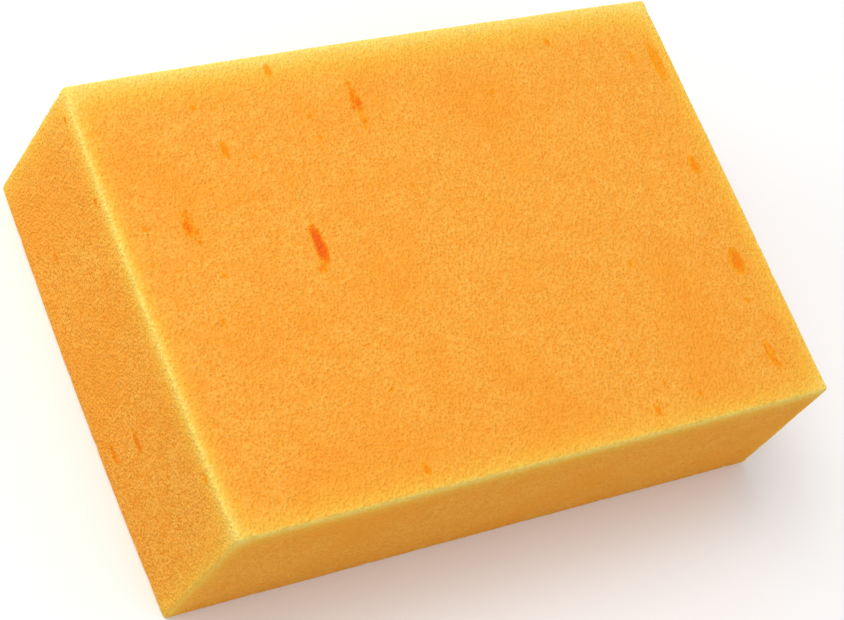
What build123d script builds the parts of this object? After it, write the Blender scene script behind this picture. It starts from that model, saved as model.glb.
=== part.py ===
"""Decorating sponge: one block of open-cell polyurethane foam, as it is cut from the bun.

The block lies on one of its two large working faces.  The origin is in the middle of that face,
+X runs along the length, +Y across the width and +Z up through the thickness.  All sizes are in
millimetres.  The saw leaves the block slightly out of true: both ends lean in towards the upper
face, the left end and the back bow outwards, and every edge is only just broken.  Where a cut
passes through a large gas bubble, it leaves an open void in the face.
"""

import os
from dataclasses import dataclass

from build123d import *

# Overall sizes
block_length = 150.0  # along X, at half the thickness and at the corners
block_width = 102.5  # along Y, at the corners
block_thickness = 41.4  # along Z

# How far the saw cuts run out of true
end_lean = 1.0  # each end stands in by this at the upper face, and out by it at the lower face
end_bow = 0.8  # the left end swells by this at the middle of the width
back_bow = 0.6  # the back swells by this at the middle of the length

edge_round = 0.8  # radius of every edge, which the saw leaves almost sharp


@dataclass
class Void:
    """A gas bubble that a cut has opened: a spheroid whose long axis lies along Y.

    x, y and z place the bubble's middle, and length and width are its own two diameters.
    """

    x: float
    y: float
    z: float
    length: float
    width: float


def from_left(distance: float) -> float:
    """X of a place that is measured from the left end, so it keeps its distance from it."""
    return -block_length / 2 + distance


def from_right(distance: float) -> float:
    """X of a place that is measured from the right end."""
    return block_length / 2 - distance


def from_front(distance: float) -> float:
    """Y of a place that is measured from the front side."""
    return -block_width / 2 + distance


def from_back(distance: float) -> float:
    """Y of a place that is measured from the back side."""
    return block_width / 2 - distance


def under_top(depth: float) -> float:
    """Z of a place at this depth beneath the upper face; above that face if it is negative."""
    return block_thickness - depth


def inside_left_end(y: float, z: float, depth: float) -> float:
    """X of a place at this depth behind the left end, which leans and bows."""
    lean = end_lean * (2 * z / block_thickness - 1)
    bow = end_bow * (1 - (2 * y / block_width) ** 2)
    return -block_length / 2 + lean - bow + depth


def left_end_void(y: float, z: float, depth: float, length: float, width: float) -> Void:
    """Place a void in the left end."""
    return Void(inside_left_end(y, z, depth), y, z, length, width)


# The open voids of the upper face, from left to right
upper_voids = [
    Void(from_left(16.4), from_back(36.2), under_top(-0.2), length=8.6, width=2.2),
    Void(from_left(30.5), from_back(20.3), under_top(0.2), length=4.4, width=1.8),
    Void(from_left(42.8), from_back(45.2), under_top(0.5), length=9.4, width=3.0),
    Void(from_left(47.4), from_back(3.6), under_top(0.0), length=3.4, width=1.8),
    Void(from_left(64.8), from_back(15.0), under_top(-0.1), length=12.4, width=2.6),
    Void(from_right(31.8), from_back(7.2), under_top(0.1), length=2.8, width=1.5),
    Void(from_right(11.4), from_front(10.6), under_top(-0.3), length=5.0, width=2.4),
    Void(from_right(9.1), from_front(34.1), under_top(0.3), length=7.4, width=3.6),
    Void(from_right(8.4), from_back(43.7), under_top(0.2), length=5.4, width=2.0),
    Void(from_right(5.4), from_back(16.3), under_top(-0.5), length=12.4, width=2.8),
]

# The open voids of the left end, from back to front
left_end_voids = [
    left_end_void(from_back(25.0), z=13.4, depth=0.1, length=3.2, width=1.4),
    left_end_void(from_front(34.9), z=6.9, depth=0.1, length=5.4, width=1.8),
    left_end_void(from_front(32.1), z=18.3, depth=0.2, length=5.6, width=2.0),
]

# The two ends are cut along planes that lean by end_lean above and below the middle
half_length = block_length / 2
half_width = block_width / 2
half_thickness = block_thickness / 2
reach = half_length + end_lean + end_bow  # nothing stands further from the middle than this

right_end_plane = Plane(
    origin=(half_length, 0, half_thickness),
    x_dir=(0, 1, 0),
    z_dir=(block_thickness, 0, 2 * end_lean),
)
left_end_plane = Plane(
    origin=(-half_length, 0, half_thickness),
    x_dir=(0, -1, 0),
    z_dir=(2 * end_lean, 0, block_thickness),
)

with BuildPart() as sponge_block:
    # The working faces, the straight front and the bowed back
    with BuildSketch():
        with BuildLine():
            Polyline(
                (-reach, half_width),
                (-reach, -half_width),
                (reach, -half_width),
                (reach, half_width),
            )
            ThreePointArc((reach, half_width), (0, half_width + back_bow), (-reach, half_width))
        make_face()
    extrude(amount=block_thickness)

    # The flat right end, then the left end with its bow
    split(bisect_by=right_end_plane, keep=Keep.BOTTOM)
    with BuildSketch(left_end_plane):
        with BuildLine():
            Polyline(
                (-block_width, 2 * block_length),
                (block_width, 2 * block_length),
                (block_width, 0),
                (half_width, 0),
            )
            ThreePointArc((half_width, 0), (0, -end_bow), (-half_width, 0))
            Polyline(
                (-half_width, 0),
                (-block_width, 0),
                (-block_width, 2 * block_length),
            )
        make_face()
    extrude(amount=block_thickness, both=True, mode=Mode.INTERSECT)

    fillet(sponge_block.edges(), radius=edge_round)

    for opened_voids, turn in ((upper_voids, 0), (left_end_voids, 90)):
        for void in opened_voids:
            # A stretched ball, turned about Y so that one of its poles points into the block
            ball = Sphere(radius=0.5, mode=Mode.PRIVATE)
            bubble = scale(ball, by=(void.width, void.length, void.width), mode=Mode.PRIVATE)
            with Locations(Location((void.x, void.y, void.z), (0, turn, 0))):
                add(bubble, mode=Mode.SUBTRACT)

sponge_block.part.label = "sponge_block"

os.makedirs("parts", exist_ok=True)
export_step(sponge_block.part, "parts/sponge_block.step")
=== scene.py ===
"""Decorating sponge: the cut foam of its block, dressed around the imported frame.

The block is one closed mesh.  It is laid out as a lattice on the six sides of a box, rounded and
put out of true like the real saw cuts, opened where the saw met a gas bubble, and then given the
relief of its cells by a Geometry Nodes tree.  Everything is in metres, in the frame's own axes.
"""

import logging
import math
from dataclasses import dataclass, replace
from enum import Enum
from typing import Callable

import bmesh
import bpy
import numpy as np
from mathutils import Matrix, Vector


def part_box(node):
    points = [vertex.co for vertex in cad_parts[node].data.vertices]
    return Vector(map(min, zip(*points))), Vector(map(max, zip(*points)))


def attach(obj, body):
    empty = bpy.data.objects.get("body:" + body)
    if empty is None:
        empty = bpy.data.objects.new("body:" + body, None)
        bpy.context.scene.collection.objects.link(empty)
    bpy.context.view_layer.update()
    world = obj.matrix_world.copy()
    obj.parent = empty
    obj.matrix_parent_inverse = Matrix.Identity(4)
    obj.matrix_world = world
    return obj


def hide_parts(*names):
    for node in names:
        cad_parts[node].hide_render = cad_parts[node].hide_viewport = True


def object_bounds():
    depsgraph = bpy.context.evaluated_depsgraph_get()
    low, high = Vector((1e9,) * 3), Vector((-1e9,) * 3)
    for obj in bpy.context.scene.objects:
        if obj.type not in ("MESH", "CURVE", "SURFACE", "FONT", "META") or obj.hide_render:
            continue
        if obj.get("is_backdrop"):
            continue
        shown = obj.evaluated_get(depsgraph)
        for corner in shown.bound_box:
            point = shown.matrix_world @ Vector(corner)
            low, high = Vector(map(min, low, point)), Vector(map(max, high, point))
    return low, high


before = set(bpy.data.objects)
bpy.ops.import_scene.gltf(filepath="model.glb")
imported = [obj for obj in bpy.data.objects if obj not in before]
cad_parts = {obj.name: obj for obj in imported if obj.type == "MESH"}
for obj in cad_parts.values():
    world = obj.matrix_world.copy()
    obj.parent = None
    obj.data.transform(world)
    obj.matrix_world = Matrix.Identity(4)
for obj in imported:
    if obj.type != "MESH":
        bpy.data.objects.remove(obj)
cad_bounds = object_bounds()

MM = 0.001
LOG = logging.getLogger("sponge")


class Side(Enum):
    """A side of the block: the axis it faces along, and which way."""

    LEFT = (0, -1)
    RIGHT = (0, 1)
    FRONT = (1, -1)
    BACK = (1, 1)
    UNDER = (2, -1)
    UPPER = (2, 1)

    @property
    def axis(self) -> int:
        """The axis that the side faces along."""
        return self.value[0]

    @property
    def sign(self) -> int:
        """1 where the side faces along its axis, and -1 where it faces against it."""
        return self.value[1]

    @property
    def across(self) -> tuple[int, int]:
        """The side's own two axes, in the order in which their cross product points outwards."""
        first, second = (self.axis + 1) % 3, (self.axis + 2) % 3
        return (first, second) if self.sign > 0 else (second, first)


class Opening(Enum):
    """How a bubble shows in the cut: its rim's power, its wall's power and how ragged its rim is."""

    SLIT = (1.35, 0.42, 0.10)
    DISH = (1.00, 0.85, 0.05)
    PORE = (1.00, 0.60, 0.16)
    PITS = (1.00, 0.55, 0.12)


@dataclass(frozen=True)
class Void:
    """A gas bubble that the saw has opened.

    Attributes:
        side: The side that it opens in.
        along: Place of its middle along its own long axis, which is X on the long sides and
            otherwise Y, in millimetres.
        across: Place of its middle along the side's other axis, in millimetres.
        length: Its size along the long axis, in millimetres.
        width: Its size across, in millimetres.
        depth: How deep it goes, in millimetres.
        opening: The form of its rim and wall.
        tint: How strongly its floor is painted with painted shade, darker and deeper orange, from 0 to 1.
    """

    side: Side
    along: float
    across: float
    length: float
    width: float
    depth: float
    opening: Opening
    tint: float

    @property
    def axes(self) -> tuple[int, int]:
        """The long axis and the axis across."""
        long_axis = 0 if self.side.axis == 1 else 1
        return long_axis, 3 - long_axis - self.side.axis  # the three axes add up to 3

    def offsets(self, points: np.ndarray) -> tuple[np.ndarray, np.ndarray]:
        """Tell where points lie in the void.

        Args:
            points: Places in the frame, one row each.

        Returns:
            Their distances from its middle, lengthwise and across, in metres.
        """
        long_axis, cross_axis = self.axes
        return points[:, long_axis] - self.along * MM, points[:, cross_axis] - self.across * MM

    def is_near(self, points: np.ndarray, margin: float) -> np.ndarray:
        """Tell which points lie in the void or around it.

        Args:
            points: Places in the frame, one row each.
            margin: How far around the rim still counts, in metres.

        Returns:
            True for each point that is near.
        """
        run, cross = self.offsets(points)
        reach_run = self.length * MM / 2 + margin
        reach_cross = self.width * MM / 2 + margin
        return (run / reach_run) ** 2 + (cross / reach_cross) ** 2 < 1

    def bowl(self, run: np.ndarray, cross: np.ndarray, random: np.random.Generator) -> np.ndarray:
        """Work out one bowl whose rim is at radius 1.

        Args:
            run: Lengthwise places, in half lengths.
            cross: Places across, in half widths.
            random: Draws the raggedness of the rim.

        Returns:
            The depth at each place as a share of the deepest, 0 outside the rim.
        """
        rim_power, wall_power, ragged = self.opening.value
        angle = np.arctan2(cross, run)
        rim = np.ones_like(angle)
        for waves in (2, 3, 5, 8):
            rim += ragged / math.sqrt(waves) * np.sin(waves * angle + random.uniform(0, math.tau))
        radius = np.hypot(np.abs(run) ** rim_power, cross) / rim
        return np.clip(1 - radius**2, 0, 1) ** wall_power

    def depths(self, points: np.ndarray, seed: int) -> np.ndarray:
        """Work out how deep the void lies under each point.

        Args:
            points: Places in the frame, one row each.
            seed: Seed of its ragged rim and its pits.

        Returns:
            The share of its full depth at each point, from 0 to 1.
        """
        random = np.random.default_rng(seed)
        run, cross = self.offsets(points)
        half_length = self.length * MM / 2
        half_width = self.width * MM / 2
        hollow = self.bowl(run / half_length, cross / half_width, random)
        if self.opening is not Opening.PITS:
            return hollow
        deepest = 0.22 * hollow**2
        for _ in range(int(6 + 2 * self.length)):
            place = random.uniform(-0.90, 0.90)
            aside = random.normal(0, 0.36) * half_width * (1 - 0.6 * place**2)
            size = half_width * random.uniform(0.16, 0.34) * (1.3 - 0.5 * abs(place))
            pit = self.bowl((run - place * half_length) / (1.5 * size), (cross - aside) / size, random)
            deepest = np.maximum(deepest, pit * random.uniform(0.45, 1.0) * (1.15 - 0.5 * abs(place)))
        return np.clip(deepest, 0, 1)


@dataclass(frozen=True)
class PaintedEdgeGlow:
    """The painted light beside one edge: a pale band painted where light would come through the corner of
    the foam.

    Attributes:
        strength: How pale it is at the edge itself.
        reach: Distance over which it falls to about a third, in millimetres.
    """

    strength: float
    reach: float


class NodeBench:
    """A node tree that is being laid out, with short ways to add and wire its nodes."""

    def __init__(self, tree: bpy.types.NodeTree) -> None:
        """Take a tree and clear it.

        Args:
            tree: The tree to fill.
        """
        self.tree = tree
        tree.nodes.clear()

    def add(
        self, kind: str, inputs: dict[str | int, object] | None = None, **settings: object
    ) -> bpy.types.Node:
        """Add a node.

        Args:
            kind: Its type name.
            inputs: What goes into its sockets: an output socket to wire, or a plain value.
            **settings: Its own settings, such as its operation.

        Returns:
            The new node.
        """
        node = self.tree.nodes.new(kind)
        node.location = (len(self.tree.nodes) * 180, 0)
        for name, value in settings.items():
            setattr(node, name, value)
        for key, value in (inputs or {}).items():
            if isinstance(value, bpy.types.NodeSocket):
                self.tree.links.new(value, node.inputs[key])
            else:
                node.inputs[key].default_value = value
        return node

    def math(self, operation: str, *values: object) -> bpy.types.NodeSocket:
        """Add a sum on numbers.

        Args:
            operation: Such as MULTIPLY.
            *values: Sockets or numbers, in order.

        Returns:
            The result's socket.
        """
        kind = "ShaderNodeMath"
        return self.add(kind, dict(enumerate(values)), operation=operation).outputs[0]

    def ramp_between(
        self, value: object, low: float, high: float, to_low: float, to_high: float
    ) -> bpy.types.NodeSocket:
        """Stretch a range of numbers smoothly to another.

        Args:
            value: The socket to read.
            low: Start of the range that is read.
            high: End of the range that is read.
            to_low: What the start becomes.
            to_high: What the end becomes.

        Returns:
            The result's socket.
        """
        inputs = {0: value, 1: low, 2: high, 3: to_low, 4: to_high}
        return self.add("ShaderNodeMapRange", inputs, interpolation_type="SMOOTHSTEP").outputs[0]

    def blend(self, share: object, first: object, second: object) -> bpy.types.NodeSocket:
        """Mix two colours.

        Args:
            share: How much of the second, from 0 to 1.
            first: The first colour or its socket.
            second: The second colour or its socket.

        Returns:
            The mixed colour's socket.
        """
        inputs = {0: share, 6: first, 7: second}
        return self.add("ShaderNodeMix", inputs, data_type="RGBA").outputs[2]


@dataclass(frozen=True)
class FoamFinish:
    """Dry open-cell foam: pale struts, darker cell mouths, painted light along the edges and painted
    shade, deep orange, in the bubbles.

    Attributes:
        strut: Colour of the cut struts.
        mouth: Colour in the cells' mouths.
        warm: Colour of the slightly richer clouds in the foam, and of the painted shade on the sides.
        golden: Colour of the painted light a little way in from the edges.
        edge: Colour of the painted light along the edges, where light would come through.
        amber: Colour of the lightest painted shade, on a shallow dish's floor.
        bubble: Colour of the painted shade on a bubble's floor.
        deep: Colour of the darkest painted shade, on a deep bubble's floor.
        cell: Width of a foam cell.
        cell_depth: Depth of a cell's mouth in the bump.
        tuft: Width of the tufts that the saw leaves on the sides.
        fibre: Width of the finest fibres on the struts.
        fibre_depth: Height of those fibres in the bump.
        scatter: Distance that light travels inside the foam.
        scatter_share: How much of the light travels inside, from 0 to 1.
        scatter_colours: How far red, green and blue travel, as shares of that distance.
        gloss: Strength of the mirror light, which dry foam hardly has.
    """

    strut: tuple[float, float, float, float] = (0.990, 0.468, 0.074, 1.0)
    mouth: tuple[float, float, float, float] = (0.890, 0.288, 0.015, 1.0)
    warm: tuple[float, float, float, float] = (0.955, 0.335, 0.027, 1.0)
    golden: tuple[float, float, float, float] = (0.975, 0.530, 0.058, 1.0)
    edge: tuple[float, float, float, float] = (0.990, 0.720, 0.170, 1.0)
    amber: tuple[float, float, float, float] = (0.95, 0.345, 0.014, 1.0)
    bubble: tuple[float, float, float, float] = (0.93, 0.25, 0.009, 1.0)
    deep: tuple[float, float, float, float] = (0.88, 0.135, 0.009, 1.0)
    cell: float = 0.62 * MM
    cell_depth: float = 0.34 * MM
    tuft: float = 1.15 * MM
    fibre: float = 0.3 * MM
    fibre_depth: float = 0.05 * MM
    scatter: float = 2.4 * MM
    scatter_share: float = 0.34
    scatter_colours: tuple[float, float, float] = (1.0, 0.55, 0.18)
    gloss: float = 0.06

    def material(self) -> bpy.types.Material:
        """Make the foam's material.

        Returns:
            The material, which reads Object coordinates and the mesh's own attributes.
        """
        material = bpy.data.materials.new("cut_foam")
        material.use_nodes = True
        bench = NodeBench(material.node_tree)
        place = bench.add("ShaderNodeTexCoord").outputs["Object"]
        cells, grain = self._cells(bench, place)
        colour = self._colour(bench, place, cells, grain)
        bump = self._bump(bench, place, cells, grain)
        shine = bench.ramp_between(grain, 0.3, 0.7, 0.96, 0.84)
        surface = bench.add(
            "ShaderNodeBsdfPrincipled",
            {"Base Color": colour, "Roughness": shine, "Normal": bump},
            subsurface_method="RANDOM_WALK",
        )
        surface.inputs["Specular IOR Level"].default_value = self.gloss
        surface.inputs["Subsurface Weight"].default_value = self.scatter_share
        surface.inputs["Subsurface Radius"].default_value = self.scatter_colours
        surface.inputs["Subsurface Scale"].default_value = self.scatter
        bench.add("ShaderNodeOutputMaterial", {"Surface": surface.outputs[0]})
        return material

    def _cells(
        self, bench: NodeBench, place: bpy.types.NodeSocket
    ) -> tuple[bpy.types.NodeSocket, bpy.types.NodeSocket]:
        """Lay out the foam's cells and the finer grain of their struts.

        Args:
            bench: The tree.
            place: The coordinates to read.

        Returns:
            The distance from each cell's middle, then the grain.
        """
        cell_inputs = {"Vector": place, "Scale": 1 / self.cell, "Randomness": 1.0}
        cells = bench.add("ShaderNodeTexVoronoi", cell_inputs, feature="F1").outputs["Distance"]
        grain_scale = 1 / (1.05 * self.cell)
        grain_inputs = {"Vector": place, "Scale": grain_scale, "Detail": 3.0, "Roughness": 0.6}
        return cells, bench.add("ShaderNodeTexNoise", grain_inputs).outputs["Fac"]

    def _bare_foam(
        self, bench: NodeBench, place: object, cells: object, grain: object
    ) -> bpy.types.NodeSocket:
        """Colour the foam away from edges and voids, with painted shade on its sides.

        Args:
            bench: The tree.
            place: The coordinates to read.
            cells: Distance from each cell's middle.
            grain: The struts' grain.

        Returns:
            The colour's socket.
        """
        cell_share = bench.ramp_between(cells, 0.12, 0.62, 0.0, 1.0)
        grain_share = bench.ramp_between(grain, 0.34, 0.66, 0.0, 1.0)
        spread = bench.math("SUBTRACT", bench.math("ADD", cell_share, grain_share), 1.0)
        rough = bench.add("ShaderNodeAttribute", attribute_name="saw_roughness").outputs["Fac"]
        contrast = bench.math("MULTIPLY", bench.math("MULTIPLY", spread, rough), 0.5)
        tufts = bench.add("ShaderNodeTexNoise", {"Vector": place, "Scale": 1 / self.tuft, "Detail": 1.0})
        tuft_share = bench.ramp_between(tufts.outputs["Fac"], 0.32, 0.68, -0.45, 0.45)
        tufted = bench.math("MULTIPLY", tuft_share, bench.math("SUBTRACT", rough, 1.0))
        share = bench.math("ADD", bench.math("ADD", contrast, tufted), 0.5)
        foam = bench.blend(share, self.mouth, self.strut)
        # Painted shade: the four sides are painted a little deeper orange than the upper and lower faces,
        # as the foam looks where less light falls.
        foam = bench.blend(bench.ramp_between(rough, 1.0, 1.2, 0.0, 0.25), foam, self.warm)
        for width, amount in ((5 * MM, 0.35), (26 * MM, 0.55)):
            cloud_inputs = {"Vector": place, "Scale": 1 / width, "Detail": 2.0}
            clouds = bench.add("ShaderNodeTexNoise", cloud_inputs).outputs["Fac"]
            foam = bench.blend(bench.ramp_between(clouds, 0.42, 0.68, 0.0, amount), foam, self.warm)
        return foam

    def _colour(
        self, bench: NodeBench, place: object, cells: object, grain: object
    ) -> bpy.types.NodeSocket:
        """Colour the foam, with painted light along its edges and painted shade on the floors of its
        voids.

        Args:
            bench: The tree.
            place: The coordinates to read.
            cells: Distance from each cell's middle.
            grain: The struts' grain.

        Returns:
            The colour's socket.
        """
        foam = self._bare_foam(bench, place, cells, grain)
        # Painted light: the edges are painted golden and then pale, where light would come through the
        # corners of the foam.
        painted_glow = bench.add("ShaderNodeAttribute", attribute_name="painted_edge_glow").outputs["Fac"]
        uneven_painted_glow = bench.math("MULTIPLY", painted_glow, bench.ramp_between(grain, 0.25, 0.75, 0.72, 1.22))
        foam = bench.blend(bench.ramp_between(uneven_painted_glow, 0.0, 0.55, 0.0, 0.85), foam, self.golden)
        foam = bench.blend(bench.ramp_between(uneven_painted_glow, 0.28, 1.0, 0.0, 1.0), foam, self.edge)
        # Painted shade: the floors of the voids are painted darker and deeper orange the deeper they lie.
        painted_hollow_shade = bench.add("ShaderNodeAttribute", attribute_name="painted_hollow_shade").outputs["Fac"]
        painted_hollow_shades = (
            (0.00, 0.26, self.amber),
            (0.24, 0.62, self.bubble),
            (0.62, 0.95, self.deep),
        )
        for start, end, floor in painted_hollow_shades:
            foam = bench.blend(bench.ramp_between(painted_hollow_shade, start, end, 0.0, 1.0), foam, floor)
        return foam

    def _bump(
        self, bench: NodeBench, place: object, cells: object, grain: object
    ) -> bpy.types.NodeSocket:
        """Raise the struts around the cells' mouths.

        Args:
            bench: The tree.
            place: The coordinates to read.
            cells: Distance from each cell's middle.
            grain: The struts' grain.

        Returns:
            The bent normal's socket.
        """
        fibre_inputs = {"Vector": place, "Scale": 1 / self.fibre, "Detail": 2.0}
        fibres = bench.add("ShaderNodeTexNoise", fibre_inputs).outputs["Fac"]
        struts = bench.math("ADD", cells, grain)
        rough = bench.add("ShaderNodeAttribute", attribute_name="saw_roughness").outputs["Fac"]
        height = bench.math("MULTIPLY", struts, rough)
        coarse_inputs = {"Strength": 1.0, "Distance": self.cell_depth, "Height": height}
        coarse = bench.add("ShaderNodeBump", coarse_inputs).outputs[0]
        fine_inputs = {
            "Strength": 0.4,
            "Distance": self.fibre_depth,
            "Height": fibres,
            "Normal": coarse,
        }
        return bench.add("ShaderNodeBump", fine_inputs).outputs[0]


@dataclass(frozen=True)
class FoamRelief:
    """Geometry Nodes tree that gives a smooth block the relief of cut foam.

    Attributes:
        grain_size: Width of the coarse grain.
        grain_depth: Height of the coarse grain.
        wave_size: Width of the soft waves that the saw leaves.
        wave_depth: Height of those waves.
        dimple_gap: Least distance between two dimples, where a larger cell is cut.
        dimple_radius: Radius of a dimple.
        dimple_depth: Depth of a dimple.
        dimple_crowd: Most dimples for each square metre, before their least distance thins them.
        seed: Seed of the dimples' places.
    """

    grain_size: float = 1.9 * MM
    grain_depth: float = 0.13 * MM
    wave_size: float = 17 * MM
    wave_depth: float = 0.30 * MM
    dimple_gap: float = 4.2 * MM
    dimple_radius: float = 1.2 * MM
    dimple_depth: float = 0.16 * MM
    dimple_crowd: float = 60000.0
    seed: int = 11

    def inputs(self) -> dict[str, tuple[str, object]]:
        """Name the tree's inputs.

        Returns:
            Each input's name, with its socket type and its value.
        """
        return {
            "Grain Size": ("NodeSocketFloat", self.grain_size),
            "Grain Depth": ("NodeSocketFloat", self.grain_depth),
            "Wave Size": ("NodeSocketFloat", self.wave_size),
            "Wave Depth": ("NodeSocketFloat", self.wave_depth),
            "Dimple Gap": ("NodeSocketFloat", self.dimple_gap),
            "Dimple Radius": ("NodeSocketFloat", self.dimple_radius),
            "Dimple Depth": ("NodeSocketFloat", self.dimple_depth),
            "Seed": ("NodeSocketInt", self.seed),
        }

    def tree(self) -> bpy.types.NodeTree:
        """Build the tree.

        Returns:
            The tree, with its named inputs.
        """
        tree = bpy.data.node_groups.new("foam_relief", "GeometryNodeTree")
        bench = NodeBench(tree)
        tree.interface.new_socket("Geometry", in_out="OUTPUT", socket_type="NodeSocketGeometry")
        tree.interface.new_socket("Geometry", in_out="INPUT", socket_type="NodeSocketGeometry")
        for name, (kind, _) in self.inputs().items():
            tree.interface.new_socket(name, in_out="INPUT", socket_type=kind)
        tree.interface.new_socket("Finish", in_out="INPUT", socket_type="NodeSocketMaterial")
        given = bench.add("NodeGroupInput").outputs
        place = bench.add("GeometryNodeInputPosition").outputs[0]
        painted_hollow_shade = bench.add("GeometryNodeInputNamedAttribute", {"Name": "painted_hollow_shade"}, data_type="FLOAT")
        outside = bench.math("SUBTRACT", 1.0, painted_hollow_shade.outputs["Attribute"])

        grain = self._noise(bench, place, given["Grain Size"], given["Grain Depth"])
        wave = self._noise(bench, place, given["Wave Size"], given["Wave Depth"])
        dimples = self._dimples(bench, given)
        fine = bench.math("MULTIPLY", bench.math("SUBTRACT", grain, dimples), outside)
        height = bench.math("ADD", fine, wave)
        normal = bench.add("GeometryNodeInputNormal").outputs[0]
        raised = {0: normal, "Scale": height}
        offset = bench.add("ShaderNodeVectorMath", raised, operation="SCALE").outputs[0]
        moved = bench.add("GeometryNodeSetPosition", {"Geometry": given["Geometry"], "Offset": offset})
        whole = bench.add("GeometryNodeRealizeInstances", {0: moved.outputs[0]})
        finish_inputs = {"Geometry": whole.outputs[0], "Material": given["Finish"]}
        dressed = bench.add("GeometryNodeSetMaterial", finish_inputs)
        bench.add("NodeGroupOutput", {0: dressed.outputs[0]})
        return tree

    def _noise(
        self, bench: NodeBench, place: object, size: object, depth: object
    ) -> bpy.types.NodeSocket:
        """Work out a height that swings evenly about nothing.

        Args:
            bench: The tree.
            place: The position to read.
            size: Width of the swings.
            depth: Height of the swings.

        Returns:
            The height's socket.
        """
        noise_inputs = {"Vector": place, "Scale": bench.math("DIVIDE", 1.0, size), "Detail": 2.0}
        noise = bench.add("ShaderNodeTexNoise", noise_inputs).outputs["Fac"]
        return bench.math("MULTIPLY", bench.math("SUBTRACT", noise, 0.5), depth)

    def _dimples(self, bench: NodeBench, given: object) -> bpy.types.NodeSocket:
        """Scatter shallow dimples over the block.

        Args:
            bench: The tree.
            given: The tree's input sockets.

        Returns:
            The socket of the depth that they take away.
        """
        scatter_inputs = {
            "Mesh": given["Geometry"],
            "Distance Min": given["Dimple Gap"],
            "Density Max": self.dimple_crowd,
            "Seed": given["Seed"],
        }
        scatter = bench.add(
            "GeometryNodeDistributePointsOnFaces", scatter_inputs, distribute_method="POISSON"
        )
        near = bench.add("GeometryNodeProximity", {0: scatter.outputs["Points"]}, target_element="POINTS")
        share = bench.math("DIVIDE", near.outputs["Distance"], given["Dimple Radius"])
        hollow = bench.ramp_between(share, 0.0, 1.0, 1.0, 0.0)
        return bench.math("MULTIPLY", hollow, given["Dimple Depth"])

    def apply(self, block: bpy.types.Object, finish: bpy.types.Material) -> None:
        """Give the block the relief and turn the result into a plain mesh.

        Args:
            block: The block, whose mesh is replaced.
            finish: Its material.
        """
        tree = self.tree()
        modifier = block.modifiers.new("foam_relief", "NODES")
        modifier.node_group = tree
        values = {name: value for name, (_, value) in self.inputs().items()}
        values["Finish"] = finish
        for item in tree.interface.items_tree:
            if item.in_out == "INPUT" and item.name in values:
                modifier[item.identifier] = values[item.name]
        evaluated = block.evaluated_get(bpy.context.evaluated_depsgraph_get())
        mesh = bpy.data.meshes.new_from_object(evaluated)
        block.modifiers.remove(modifier)
        smooth = block.data
        block.data = mesh
        bpy.data.meshes.remove(smooth)
        bpy.data.node_groups.remove(tree)


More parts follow.
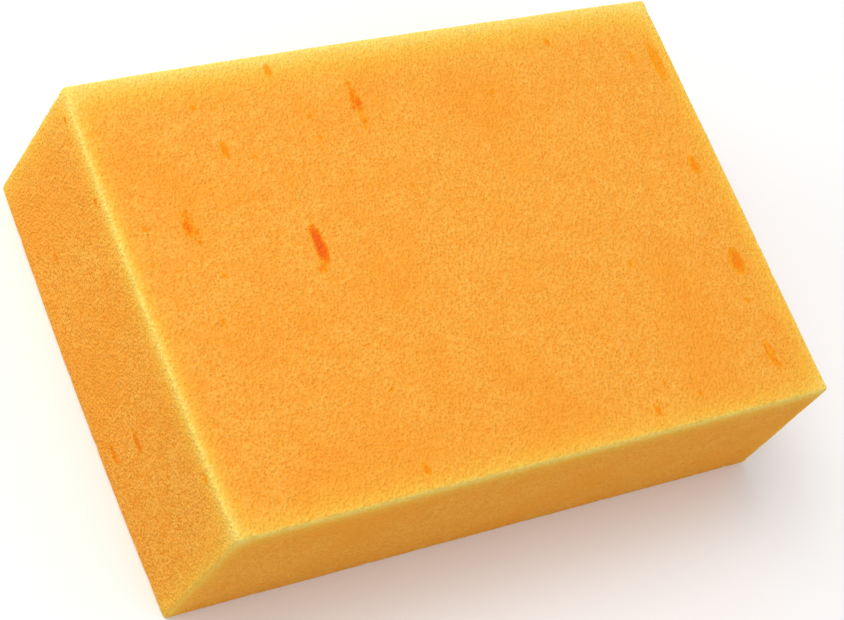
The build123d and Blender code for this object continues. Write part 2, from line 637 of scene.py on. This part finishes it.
@dataclass
class FoamBlock:
    """The sponge itself: one block of foam, as it is cut from the bun.

    Attributes:
        low: The frame's lowest corner of the block.
        high: The frame's highest corner of the block.
        edge_round: Radius of every edge, which the saw leaves almost sharp.
        end_lean: How far each end stands in at the upper face and out at the lower face.
        mesh_step: Width of the lattice's squares where the block is plain.
        refine_margins: How far around each void the squares are halved, once for each margin.
        hidden_pores: How many small pores each side that is out of sight gets.
        hidden_margin: How far those pores stay from the edges.
        hidden_seed: Seed of their places and sizes.
        thickness: The block's size along Z.
        half_width: Half of its width, at the corners.
        back_bow: How far the back swells at the middle of the length.
        end_bow: How far the left end swells at the middle of the width.
        half_length: Half of its length, at half the thickness and at the corners.
        half: Half of its three sizes.
        voids: Every void and pore that is drawn.
    """

    low: Vector
    high: Vector
    edge_round: float = 0.75 * MM
    end_lean: float = 1.0 * MM
    mesh_step: float = 0.90 * MM
    refine_margins: tuple[float, ...] = (1.1 * MM, 0.5 * MM)
    hidden_pores: int = 8
    hidden_margin: float = 5 * MM
    hidden_seed: int = 5

    def __post_init__(self) -> None:
        """Work the block's own sizes out of its corners."""
        self.thickness = self.high.z
        self.half_width = -self.low.y
        self.back_bow = self.high.y - self.half_width
        self.end_bow = -self.low.x - self.high.x
        self.half_length = self.high.x - self.end_lean
        self.half = np.array([self.half_length, self.half_width, self.thickness / 2])
        self.voids = self.opened_voids() + self.pores_out_of_sight()

    def from_left(self, distance: float) -> float:
        """X of a place that is measured from the left end, in millimetres."""
        return -self.half_length / MM + distance

    def from_right(self, distance: float) -> float:
        """X of a place that is measured from the right end, in millimetres."""
        return self.half_length / MM - distance

    def from_front(self, distance: float) -> float:
        """Y of a place that is measured from the front side, in millimetres."""
        return -self.half_width / MM + distance

    def from_back(self, distance: float) -> float:
        """Y of a place that is measured from the back side, in millimetres."""
        return self.half_width / MM - distance

    def opened_voids(self) -> list[Void]:
        """List the voids and pores of the upper face, the left end and the front.

        Returns:
            The larger voids from left to right, then the pores.
        """
        left, right, front, back = self.from_left, self.from_right, self.from_front, self.from_back
        upper = Side.UPPER
        end = Side.LEFT
        # Side, places along and across, length, width, depth, opening and tint
        voids = [
            Void(upper, back(36.0), left(16.6), 8.8, 3.4, 0.9, Opening.PITS, 0.80),
            Void(upper, back(20.3), left(30.5), 5.0, 2.1, 1.1, Opening.DISH, 0.56),
            Void(upper, back(45.2), left(42.8), 9.4, 3.1, 2.0, Opening.SLIT, 1.00),
            Void(upper, back(50.2), left(41.7), 2.8, 2.2, 0.9, Opening.PITS, 0.95),
            Void(upper, back(3.6), left(47.4), 4.2, 2.1, 0.9, Opening.DISH, 0.30),
            Void(upper, back(14.6), left(65.0), 3.6, 2.3, 1.2, Opening.DISH, 0.85),
            Void(upper, back(15.0), left(64.8), 12.6, 3.6, 1.0, Opening.PITS, 0.85),
            Void(upper, back(7.2), right(31.8), 3.0, 1.7, 0.9, Opening.DISH, 0.45),
            Void(upper, front(10.6), right(11.4), 7.6, 3.6, 0.9, Opening.PITS, 0.66),
            Void(upper, front(34.1), right(9.1), 8.0, 4.2, 1.8, Opening.DISH, 0.64),
            Void(upper, back(43.7), right(8.4), 6.0, 2.8, 1.2, Opening.DISH, 0.52),
            Void(upper, back(16.3), right(5.4), 13.4, 3.6, 0.9, Opening.DISH, 0.32),
            Void(upper, back(14.6), right(11.6), 5.8, 2.0, 0.5, Opening.DISH, 0.20),
            Void(end, back(25.0), 13.4, 3.4, 1.3, 0.7, Opening.SLIT, 0.54),
            Void(end, front(34.9), 6.9, 5.4, 1.8, 1.0, Opening.SLIT, 0.66),
            Void(end, front(32.1), 18.3, 5.6, 2.0, 1.1, Opening.SLIT, 0.72),
            Void(end, front(14.6), 38.9, 3.2, 1.7, 0.8, Opening.DISH, 0.35),
        ]
        # Places along and across, and length
        upper_pores = (
            (back(17.2), right(51.4), 1.8),
            (front(38.8), right(36.3), 1.7),
            (front(24.6), right(11.2), 1.8),
            (front(4.8), right(45.8), 2.6),
            (front(6.2), right(33.7), 1.7),
            (front(4.8), left(45.8), 2.8),
            (back(34.8), left(6.6), 1.6),
            (back(48.0), left(19.6), 1.5),
            (front(44.8), left(15.4), 1.6),
            (back(22.8), left(36.5), 1.5),
            (back(9.5), left(27.2), 1.8),
            (back(15.8), left(52.6), 1.6),
            (back(21.1), left(53.0), 1.6),
            (back(35.6), left(69.4), 1.2),
            (front(23.0), left(45.4), 1.2),
            (front(10.4), right(41.3), 1.3),
        )
        end_pores = (
            (26.0, 37.9, 2.2),
            (45.4, 37.7, 1.8),
            (11.0, 30.5, 1.3),
            (-30.0, 25.0, 1.4),
        )
        front_pores = (
            (25.8, 14.8, 2.4),
            (54.6, 10.8, 2.6),
            (67.7, 10.7, 2.2),
            (0.6, 6.5, 1.6),
            (46.4, 23.1, 1.5),
        )
        # Side, pores, width as a share of the length, depth and tint
        groups = (
            (upper, upper_pores, 0.75, 0.6, 0.50),
            (end, end_pores, 0.70, 0.7, 0.60),
            (Side.FRONT, front_pores, 0.60, 0.7, 0.56),
        )
        for side, pores, roundness, depth, tint in groups:
            for along, across, length in pores:
                width = roundness * length
                voids.append(Void(side, along, across, length, width, depth, Opening.PORE, tint))
        return voids

    def pores_out_of_sight(self) -> list[Void]:
        """Scatter a few plain pores over the back, the right end and the underside.

        Returns:
            The pores.
        """
        random = np.random.default_rng(self.hidden_seed)
        pores = []
        for side in (Side.BACK, Side.RIGHT, Side.UNDER):
            for _ in range(self.hidden_pores):
                length = random.uniform(1.4, 3.6)
                width = length * random.uniform(0.4, 0.7)
                pore = Void(side, 0.0, 0.0, length, width, 0.8, Opening.PORE, 0.5)
                long_axis, cross_axis = pore.axes
                along = random.uniform(-1, 1) * (self.half[long_axis] - self.hidden_margin) / MM
                across = random.uniform(-1, 1) * (self.half[cross_axis] - self.hidden_margin) / MM
                if cross_axis == Side.UPPER.axis:
                    across += self.thickness / 2 / MM
                pores.append(replace(pore, along=along, across=across))
        return pores

    def stations(self, half: float) -> np.ndarray:
        """Divide one axis of the lattice.

        Args:
            half: Half of the block's size along it.

        Returns:
            Evenly spaced places, with closer ones where the edge bends.
        """
        inner = half - self.edge_round
        squares = max(2, round(2 * inner / self.mesh_step))
        bend = inner + self.edge_round * np.tan(np.radians((15, 30, 45)))
        return np.concatenate([-bend[::-1], np.linspace(-inner, inner, squares + 1), bend])

    def lattice(self) -> bpy.types.Mesh:
        """Lay squares on the six sides of the plain box.

        Returns:
            A closed mesh about the box's middle, with its faces outwards.
        """
        ticks = [self.stations(size) for size in self.half]
        counts = [len(places) for places in ticks]
        squares = []
        for side in Side:
            first, second = side.across
            rows, columns = np.indices((counts[first], counts[second]))
            index = np.zeros(rows.shape + (3,), dtype=np.int64)
            index[..., first] = rows
            index[..., second] = columns
            index[..., side.axis] = counts[side.axis] - 1 if side.sign > 0 else 0
            code = (index[..., 0] * counts[1] + index[..., 1]) * counts[2] + index[..., 2]
            corners = (code[:-1, :-1], code[1:, :-1], code[1:, 1:], code[:-1, 1:])
            squares.append(np.stack([corner.ravel() for corner in corners], axis=1))
        used, faces = np.unique(np.concatenate(squares), return_inverse=True)
        x = ticks[0][used // (counts[1] * counts[2])]
        y = ticks[1][used // counts[2] % counts[1]]
        z = ticks[2][used % counts[2]]
        places = np.stack([x, y, z], axis=1)
        mesh = bpy.data.meshes.new("foam_block")
        mesh.from_pydata(places.tolist(), [], faces.reshape(-1, 4).tolist())
        return mesh

    def cut(self, plain: np.ndarray) -> tuple[np.ndarray, np.ndarray]:
        """Round the plain box and put it as far out of true as the saw does.

        Args:
            plain: Places on the plain box, one row each.

        Returns:
            The places on the cut block and the way that its surface faces there.
        """
        inner = np.clip(plain, -(self.half - self.edge_round), self.half - self.edge_round)
        outward = plain - inner
        outward /= np.linalg.norm(outward, axis=1, keepdims=True)
        places = inner + self.edge_round * outward
        x, y, z = (places / self.half).T
        fade = 3  # the lean and the bows die away towards the middle by this power
        lean = -self.end_lean * z * np.sign(x) * np.abs(x) ** fade
        end_bow = self.end_bow * (1 - y**2) * np.clip(-x, 0, 1) ** fade
        back_bow = self.back_bow * (1 - x**2) * np.clip(y, 0, 1) ** fade
        places[:, 0] += lean - end_bow
        places[:, 1] += back_bow
        places[:, 2] += self.thickness / 2
        return places, outward

    def refine(self, mesh: bpy.types.Mesh) -> None:
        """Halve the squares around each void until its rim can be drawn.

        Args:
            mesh: The plain box, which is changed.
        """
        for margin in self.refine_margins:
            work = bmesh.new()
            work.from_mesh(mesh)
            work.faces.ensure_lookup_table()
            centres = np.array([face.calc_center_median() for face in work.faces])
            places, outward = self.cut(centres)
            chosen = np.zeros(len(centres), dtype=bool)
            for void in self.voids:
                faces_it = outward[:, void.side.axis] * void.side.sign > 0.3
                chosen |= faces_it & void.is_near(places, margin)
            edges = {edge for index in np.flatnonzero(chosen) for edge in work.faces[index].edges}
            ordered = sorted(edges, key=lambda edge: edge.index)
            bmesh.ops.subdivide_edges(work, edges=ordered, cuts=1, use_grid_fill=True)
            work.to_mesh(mesh)
            work.free()

    def open_voids(self, places: np.ndarray, outward: np.ndarray) -> tuple[np.ndarray, np.ndarray]:
        """Push the surface in where the saw opened a bubble.

        Args:
            places: Places on the cut block, one row each.
            outward: The way that its surface faces there.

        Returns:
            The moved places, and how much painted shade each gets, more where it lies deeper in a void.
        """
        moved = places.copy()
        painted_hollow_shade = np.zeros(len(places))
        for seed, void in enumerate(self.voids):
            axis = void.side.axis
            sign = void.side.sign
            # A void dies away where the surface turns round an edge
            facing = np.clip(outward[:, axis] * sign * 1.6 - 0.3, 0, 1)
            share = void.depths(places, seed) * facing
            level = places[:, axis] - sign * share * void.depth * MM
            deeper = np.minimum if sign > 0 else np.maximum
            moved[:, axis] = deeper(moved[:, axis], level)
            # Painted shade: the deeper a point lies in a void, the more of its painted shade it gets.
            painted_hollow_shade = np.maximum(painted_hollow_shade, share * void.tint)
        return moved, painted_hollow_shade

    def painted_edge_glow(self, plain: np.ndarray, outward: np.ndarray) -> np.ndarray:
        """Work out the painted light beside the edges: how pale the foam is painted there.

        Args:
            plain: Places on the plain box, one row each.
            outward: The way that the surface faces there.

        Returns:
            From 0 in the open to about 1 on the palest edge.
        """
        # Painted light: the upper edges are painted palest and the lower edges hardly at all, as the
        # light falls from above.
        usual_painted_glow = PaintedEdgeGlow(0.60, 3.4)
        painted_edge_glows = {
            (Side.UPPER, Side.BACK): PaintedEdgeGlow(1.00, 4.8),
            (Side.UPPER, Side.LEFT): PaintedEdgeGlow(0.74, 2.3),
            (Side.UPPER, Side.FRONT): PaintedEdgeGlow(0.52, 4.4),
            (Side.UPPER, Side.RIGHT): PaintedEdgeGlow(0.62, 3.8),
            (Side.LEFT, Side.UPPER): PaintedEdgeGlow(0.84, 3.1),
            (Side.LEFT, Side.FRONT): PaintedEdgeGlow(0.46, 5.0),
            (Side.LEFT, Side.BACK): PaintedEdgeGlow(0.60, 4.0),
            (Side.LEFT, Side.UNDER): PaintedEdgeGlow(0.10, 3.0),
            (Side.FRONT, Side.UPPER): PaintedEdgeGlow(1.00, 3.2),
            (Side.FRONT, Side.LEFT): PaintedEdgeGlow(0.62, 2.4),
            (Side.FRONT, Side.RIGHT): PaintedEdgeGlow(0.45, 2.2),
            (Side.FRONT, Side.UNDER): PaintedEdgeGlow(0.05, 3.0),
        }
        total = np.zeros(len(plain))
        for side in Side:
            weight = np.clip(outward[:, side.axis] * side.sign, 0, 1) ** 2
            dull = np.ones(len(plain))
            for edge in Side:
                if edge.axis != side.axis:
                    painted_glow = painted_edge_glows.get((side, edge), usual_painted_glow)
                    distance = self.half[edge.axis] - edge.sign * plain[:, edge.axis]
                    dull *= 1 - painted_glow.strength * np.exp(-np.clip(distance, 0, 1) / (painted_glow.reach * MM))
            total += weight * (1 - dull)
        return total

    def saw_roughness(self, outward: np.ndarray) -> np.ndarray:
        """Tell how much rougher the saw leaves the surface than on the working faces. The material also
        paints shade on the sides by it.

        Args:
            outward: The way that the surface faces at each point.

        Returns:
            1 on the working faces, more on the long sides and most on the ends.
        """
        ends, long_sides, working_faces = (outward**2).T
        return 2.1 * ends + 1.2 * long_sides + 1.0 * working_faces

    def lay_map(self, mesh: bpy.types.Mesh, plain: np.ndarray) -> None:
        """Lay the six sides flat beside each other in the unit square.

        Args:
            mesh: The mesh that gets the map.
            plain: Places on the plain box, one row for each vertex.
        """
        length, width, thickness = 2 * self.half
        gap = 2 * MM
        column = length + gap
        row = 2 * (width + gap)
        corners = {
            Side.UPPER: (0.0, 0.0, False),
            Side.UNDER: (0.0, width + gap, False),
            Side.FRONT: (column, 0.0, True),
            Side.BACK: (column + thickness + gap, 0.0, True),
            Side.LEFT: (0.0, row, False),
            Side.RIGHT: (width + gap, row, False),
        }
        span = max(column + 2 * (thickness + gap), row + thickness + gap)
        loops = np.zeros(len(mesh.loops), dtype=np.int64)
        mesh.loops.foreach_get("vertex_index", loops)
        starts = np.array([face.loop_start for face in mesh.polygons])
        totals = np.array([face.loop_total for face in mesh.polygons])
        owner = np.repeat(np.arange(len(starts)), totals)
        loop_places = plain[loops]
        middles = np.add.reduceat(loop_places, starts) / totals[:, None]
        flat = np.zeros((len(loops), 2))
        for side, (left, bottom, upright) in corners.items():
            on_side = middles[:, side.axis] * side.sign > self.half[side.axis] * (1 - 1e-6)
            chosen = on_side[owner]
            long_axis, short_axis = [axis for axis in (0, 1, 2) if axis != side.axis]
            long_run = loop_places[chosen, long_axis] + self.half[long_axis]
            short_run = loop_places[chosen, short_axis] + self.half[short_axis]
            flat[chosen, 0] = left + (short_run if upright else long_run)
            flat[chosen, 1] = bottom + (long_run if upright else short_run)
        layer = mesh.uv_layers.new(name="OFBake")
        layer.uv.foreach_set("vector", ((flat + gap / 2) / span).astype(np.float32).ravel())

    def build(self, finish: bpy.types.Material, relief: FoamRelief) -> bpy.types.Object:
        """Build the block and dress it.

        Args:
            finish: The foam's material.
            relief: The relief of its cells.

        Returns:
            The finished object.
        """
        mesh = self.lattice()
        self.refine(mesh)
        plain = np.zeros(len(mesh.vertices) * 3)
        mesh.vertices.foreach_get("co", plain)
        plain = plain.reshape(-1, 3)
        places, outward = self.cut(plain)
        places, painted_hollow_shade = self.open_voids(places, outward)
        self.lay_map(mesh, plain)
        mesh.vertices.foreach_set("co", places.ravel())
        # The painted shade of the voids and the painted light along the edges go onto the mesh with the
        # saw roughness.
        marks = {
            "painted_hollow_shade": painted_hollow_shade,
            "painted_edge_glow": self.painted_edge_glow(plain, outward),
            "saw_roughness": self.saw_roughness(outward),
        }
        for name, values in marks.items():
            attribute = mesh.attributes.new(name, "FLOAT", "POINT")
            attribute.data.foreach_set("value", values.astype(np.float32))
        mesh.polygons.foreach_set("use_smooth", np.ones(len(mesh.polygons), dtype=bool))
        mesh.update()
        block = bpy.data.objects.new("foam_block", mesh)
        bpy.context.scene.collection.objects.link(block)
        relief.apply(block, finish)
        self.settle(block.data)
        return block

    def settle(self, mesh: bpy.types.Mesh) -> None:
        """Let no grain stand below the surface that the block rests on.

        Args:
            mesh: The finished mesh, which is changed.
        """
        places = np.zeros(len(mesh.vertices) * 3)
        mesh.vertices.foreach_get("co", places)
        places = places.reshape(-1, 3)
        places[:, 2] = np.maximum(places[:, 2], 0.0)
        mesh.vertices.foreach_set("co", places.ravel())
        mesh.update()


@dataclass(frozen=True)
class Studio:
    """A pale floor under plain soft light, and the camera.

    Attributes:
        sky: Strength of the even light from all round.
        key_power: Power of the large soft lamp, in watts.
        key_place: Where the lamp stands.
        key_size: Width of the lamp.
        side_power: Power of the small lamp beside the left end, in watts.
        side_place: Where that lamp stands.
        side_size: Width of that lamp.
        floor_size: Width of the floor.
        aim: The point that the camera looks at.
        distance: How far the camera stands from it.
        azimuth: Direction from that point to the camera, in degrees from +X.
        elevation: How far the camera stands above it, in degrees.
        roll: How far the camera is turned about its own view, in degrees.
        lens: Focal length, in millimetres on a sensor 36 wide.
    """

    sky: float = 0.645
    key_power: float = 9.3
    key_place: tuple[float, float, float] = (-0.36, 0.40, 1.20)
    key_size: float = 0.9
    side_power: float = 0.50
    side_place: tuple[float, float, float] = (-0.30, 0.30, 0.12)
    side_size: float = 0.2
    floor_size: float = 6.0
    aim: tuple[float, float, float] = (-2.46 * MM, -4.97 * MM, 20.7 * MM)
    distance: float = 555.2 * MM
    azimuth: float = -148.70
    elevation: float = 53.71
    roll: float = 40.86
    lens: float = 108.90

    def floor(self) -> None:
        """Lay the floor and mark it as stage."""
        half = self.floor_size / 2
        mesh = bpy.data.meshes.new("floor")
        corners = [(-half, -half, 0), (half, -half, 0), (half, half, 0), (-half, half, 0)]
        mesh.from_pydata(corners, [], [(0, 1, 2, 3)])
        floor = bpy.data.objects.new("floor", mesh)
        bpy.context.scene.collection.objects.link(floor)
        material = bpy.data.materials.new("pale_floor")
        material.use_nodes = True
        bench = NodeBench(material.node_tree)
        place = bench.add("ShaderNodeTexCoord").outputs["Object"]
        cloud = bench.add("ShaderNodeTexNoise", {"Vector": place, "Scale": 5.0}).outputs["Fac"]
        colour = bench.blend(cloud, (0.93, 0.93, 0.93, 1.0), (0.95, 0.95, 0.95, 1.0))
        surface = bench.add("ShaderNodeBsdfPrincipled", {"Base Color": colour, "Roughness": 0.9})
        surface.inputs["Specular IOR Level"].default_value = 0.1
        bench.add("ShaderNodeOutputMaterial", {"Surface": surface.outputs[0]})
        mesh.materials.append(material)
        floor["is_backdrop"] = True

    def lights(self) -> None:
        """Fill the room with even light and place the two soft lamps."""
        world = bpy.data.worlds.new("studio")
        world.use_nodes = True
        background = world.node_tree.nodes["Background"]
        background.inputs["Color"].default_value = (1.0, 1.0, 1.0, 1.0)
        background.inputs["Strength"].default_value = self.sky
        bpy.context.scene.world = world
        for name, power, place, size in (
            ("soft_key", self.key_power, self.key_place, self.key_size),
            ("soft_side", self.side_power, self.side_place, self.side_size),
        ):
            lamp = bpy.data.lights.new(name, "AREA")
            lamp.energy = power
            lamp.size = size
            holder = bpy.data.objects.new(name, lamp)
            holder.location = place
            holder.rotation_euler = Vector(place).to_track_quat("Z", "Y").to_euler()
            bpy.context.scene.collection.objects.link(holder)

    def camera(self) -> None:
        """Set up the camera and make it the scene's own."""
        azimuth, elevation = math.radians(self.azimuth), math.radians(self.elevation)
        level = Vector((math.cos(azimuth), math.sin(azimuth), 0.0)) * math.cos(elevation)
        back = level + Vector((0.0, 0.0, math.sin(elevation)))
        level_view = back.to_track_quat("Z", "Y").to_matrix()
        turned = level_view @ Matrix.Rotation(math.radians(self.roll), 3, "Z")
        data = bpy.data.cameras.new("camera")
        data.lens = self.lens
        data.sensor_width = 36.0
        data.sensor_fit = "HORIZONTAL"
        data.clip_start = 0.01
        data.clip_end = 20.0
        camera = bpy.data.objects.new("camera", data)
        stand = Vector(self.aim) + back * self.distance
        camera.matrix_world = Matrix.Translation(stand) @ turned.to_4x4()
        bpy.context.scene.collection.objects.link(camera)
        bpy.context.scene.camera = camera

    def set_up(self) -> None:
        """Lay the floor, light it and place the camera, with colours shown as they are."""
        self.floor()
        self.lights()
        self.camera()
        bpy.context.scene.view_settings.view_transform = "Standard"


def report(piece: bpy.types.Object) -> None:
    """Log a finished piece.

    Args:
        piece: The piece.
    """
    size = ", ".join(f"{value / MM:.1f}" for value in piece.dimensions)
    triangles = sum(len(face.vertices) - 2 for face in piece.data.polygons)
    LOG.info("%s: %s mm, %d triangles", piece.name, size, triangles)


def write_sizes(made_bounds: Callable[[], tuple[Vector, Vector]]) -> None:
    """Gather the frame's box and the visual model's box.

    Args:
        made_bounds: Gives the box of what is shown now.
    """
    boxes = {"cad": cad_bounds, "visual": made_bounds()}


def main() -> None:
    """Set up the studio, build the block and tie it to the frame."""
    logging.basicConfig(level=logging.INFO, format="%(message)s")
    Studio().set_up()
    low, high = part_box("sponge_block")
    block = FoamBlock(low, high).build(FoamFinish().material(), FoamRelief())
    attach(block, "root")
    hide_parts("sponge_block")
    report(block)
    write_sizes(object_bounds)


if __name__ == "__main__":
    main()
